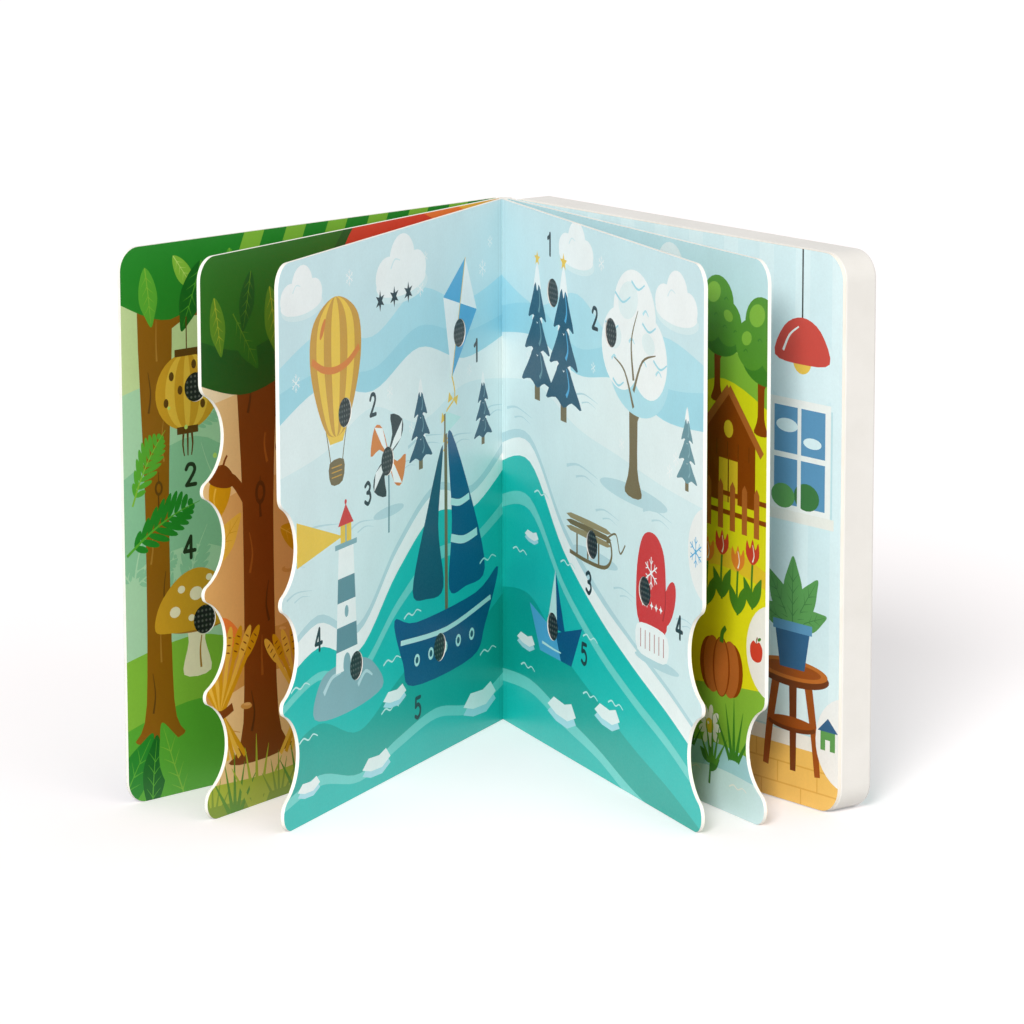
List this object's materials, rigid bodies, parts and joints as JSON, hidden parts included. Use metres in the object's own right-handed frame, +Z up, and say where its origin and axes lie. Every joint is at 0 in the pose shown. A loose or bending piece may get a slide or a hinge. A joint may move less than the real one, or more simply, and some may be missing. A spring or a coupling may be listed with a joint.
{
  "type": "board book",
  "caption": "Touch-and-listen board book standing fanned open, with stepped index cuts, round touch windows and a thick sound block as its back cover.",
  "frame": {"origin": "on the floor, under the middle of the open book's overall box", "axes": "+X to the reader's right across the open book, +Y away from the reader towards the spine, +Z up along the spine"},
  "size_m": [0.2696, 0.1866, 0.204],
  "materials": {
    "printed_board": "satin laminate over print",
    "touch_pad": "matte",
    "case_plastic": "satin",
    "cell_wrap": "gloss",
    "plated_steel": "bright plated",
    "pressed_steel": "satin",
    "cone_paper": "matte",
    "magnet": "satin",
    "circuit_laminate": "satin",
    "chip_black": "gloss",
    "socket_plastic": "matte",
    "sensor_film": "gloss film",
    "wire_sleeve": "satin",
    "screw_steel": "plated",
    "switch_metal": "satin",
    "knob_plastic": "matte"
  },
  "bodies": {
    "sound_block": {"module_case": "case_plastic", "module_face_board": "printed_board", "back_board": "printed_board", "battery_door": "case_plastic", "door_screw": "screw_steel", "battery_cells": "cell_wrap", "battery_springs": "plated_steel", "battery_terminals": "plated_steel", "battery_leads": "wire_sleeve", "speaker_frame": "pressed_steel", "speaker_cone": "cone_paper", "speaker_magnet": "magnet", "speaker_leads": "wire_sleeve", "circuit_board": "circuit_laminate", "circuit_parts": "chip_black", "ribbon_socket": "socket_plastic", "sensor_tail": "sensor_film", "board_screws": "screw_steel", "switch_body": "switch_metal", "touch_pads_page_10": "touch_pad"},
    "page_fan": {"pages": "printed_board", "spine_strip": "printed_board", "touch_pads_page_2": "touch_pad", "touch_pads_page_3": "touch_pad", "touch_pads_page_4": "touch_pad", "touch_pads_page_5": "touch_pad", "touch_pads_page_6": "touch_pad", "touch_pads_page_7": "touch_pad", "touch_pads_page_8": "touch_pad", "touch_pads_page_9": "touch_pad"},
    "cover_board": {"front_cover": "printed_board", "touch_pads_page_1": "touch_pad"},
    "switch_knob": {"switch_slider": "knob_plastic"}
  },
  "joints": [
    {"name": "block_hinge", "type": "hinge", "parent": "sound_block", "child": "page_fan", "pos_m": [0.00782, 0.08418, 0], "axis": [0, 0, -1], "range_deg": [-8.5, 70]},
    {"name": "front_cover_hinge", "type": "hinge", "parent": "page_fan", "child": "cover_board", "pos_m": [0.00004, 0.08686, 0], "axis": [0, 0, -1], "range_deg": [-10.5, 80]},
    {"name": "switch_slide", "type": "slide", "parent": "sound_block", "child": "switch_knob", "axis": [0.6046, -0.7965, 0], "range_m": [0, 0.003]}
  ]
}
